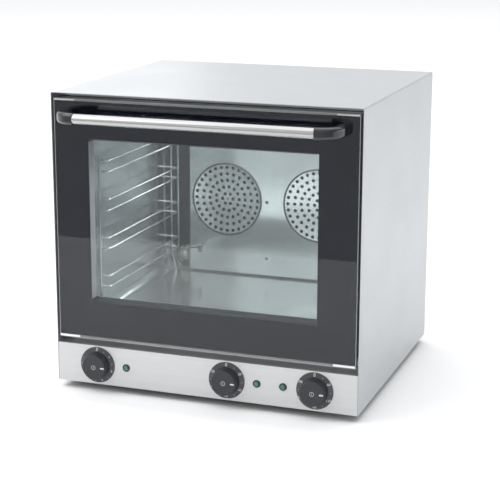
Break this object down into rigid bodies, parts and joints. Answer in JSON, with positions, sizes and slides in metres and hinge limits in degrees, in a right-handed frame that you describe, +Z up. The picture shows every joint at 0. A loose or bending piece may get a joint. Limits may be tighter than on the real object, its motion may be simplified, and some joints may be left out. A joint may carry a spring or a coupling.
{
  "type": "convection oven",
  "caption": "Countertop convection oven with a drop-down glass door, rear fans behind a baffle, wire tray racks and a front control panel with turning knobs.",
  "frame": {"origin": "on the floor, under the middle of the whole object, handle and rear gland included", "axes": "+X to the viewer's right, +Y to the back, +Z up"},
  "size_m": [0.595, 0.6066, 0.57],
  "materials": {
    "casing_steel": "satin",
    "panel_steel": "satin",
    "cavity_steel": "satin",
    "plated_sheet": "satin",
    "dark_pan": "matte",
    "handle_steel": "satin",
    "trim_steel": "satin",
    "rack_wire": "polished",
    "screw_steel": "satin",
    "black_plastic": "satin",
    "black_rubber": "matte",
    "door_glass": "gloss",
    "inner_glass": "gloss",
    "lamp_glass": "gloss",
    "mineral_wool": "matte",
    "element_sheath": "matte",
    "wheel_aluminium": "satin",
    "motor_steel": "satin",
    "switch_plastic": "matte",
    "terminal_ceramic": "satin",
    "indicator_rim": "gloss",
    "indicator_lens": "gloss"
  },
  "bodies": {
    "oven_body": {"casing_wrap": "casing_steel", "rear_cover": "plated_sheet", "base_pan": "dark_pan", "feet": "black_rubber", "front_frame": "cavity_steel", "cavity_gasket": "black_rubber", "cavity_wrap": "cavity_steel", "cavity_rear_wall": "cavity_steel", "insulation_sleeve": "mineral_wool", "insulation_rear": "mineral_wool", "compartment_shelf": "plated_sheet", "motor_plate": "plated_sheet", "baffle_panel": "cavity_steel", "baffle_posts": "screw_steel", "baffle_screws": "screw_steel", "rack_left": "rack_wire", "rack_right": "rack_wire", "fan_motor_left": "motor_steel", "fan_motor_right": "motor_steel", "heating_element_left": "element_sheath", "heating_element_right": "element_sheath", "lamp_holder": "terminal_ceramic", "lamp_bulb": "lamp_glass", "lamp_lens": "lamp_glass", "temperature_probe": "rack_wire", "probe_clip": "screw_steel", "steam_vent": "cavity_steel", "control_panel": "panel_steel", "dial_rings": "black_plastic", "indicator_bezels": "indicator_rim", "indicator_lenses": "indicator_lens", "function_switch": "switch_plastic", "timer_unit": "switch_plastic", "thermostat_unit": "switch_plastic", "terminal_block": "terminal_ceramic", "cable_gland": "black_plastic", "cover_screws": "screw_steel", "hinge_plates": "screw_steel", "hinge_pins": "screw_steel"},
    "door": {"door_outer_glass": "door_glass", "door_inner_glass": "inner_glass", "door_frame": "trim_steel", "door_glass_seals": "black_rubber", "door_top_trim": "trim_steel", "door_bottom_trim": "trim_steel", "handle_tube": "handle_steel", "handle_brackets": "black_plastic", "hinge_leaves": "screw_steel", "handle_screws": "screw_steel"},
    "function_knob": {"function_knob": "black_plastic", "function_spindle": "screw_steel"},
    "timer_knob": {"timer_knob": "black_plastic", "timer_spindle": "screw_steel"},
    "thermostat_knob": {"thermostat_knob": "black_plastic", "thermostat_spindle": "screw_steel"},
    "fan_left": {"fan_wheel_left": "wheel_aluminium", "fan_shaft_left": "screw_steel"},
    "fan_right": {"fan_wheel_right": "wheel_aluminium", "fan_shaft_right": "screw_steel"}
  },
  "joints": [
    {"name": "door_hinge", "type": "hinge", "parent": "oven_body", "child": "door", "pos_m": [0, -0.22575, 0.11267], "axis": [1, 0, 0], "range_deg": [0, 90], "stiffness_Nm_per_rad": 2, "springref_deg": -34.38},
    {"name": "function_turn", "type": "hinge", "parent": "oven_body", "child": "function_knob", "pos_m": [-0.214, -0.24175, 0.0535], "axis": [0, 1, 0], "range_deg": [0, 270]},
    {"name": "timer_turn", "type": "hinge", "parent": "oven_body", "child": "timer_knob", "pos_m": [0.047, -0.24175, 0.0535], "axis": [0, 1, 0], "range_deg": [0, 300]},
    {"name": "thermostat_turn", "type": "hinge", "parent": "oven_body", "child": "thermostat_knob", "pos_m": [0.2165, -0.24175, 0.0535], "axis": [0, 1, 0], "range_deg": [0, 300]},
    {"name": "fan_left_spin", "type": "hinge", "parent": "oven_body", "child": "fan_left", "pos_m": [-0.1, 0.20625, 0.303], "axis": [0, 1, 0], "continuous": true},
    {"name": "fan_right_spin", "type": "hinge", "parent": "oven_body", "child": "fan_right", "pos_m": [0.1, 0.20625, 0.303], "axis": [0, 1, 0], "continuous": true}
  ]
}
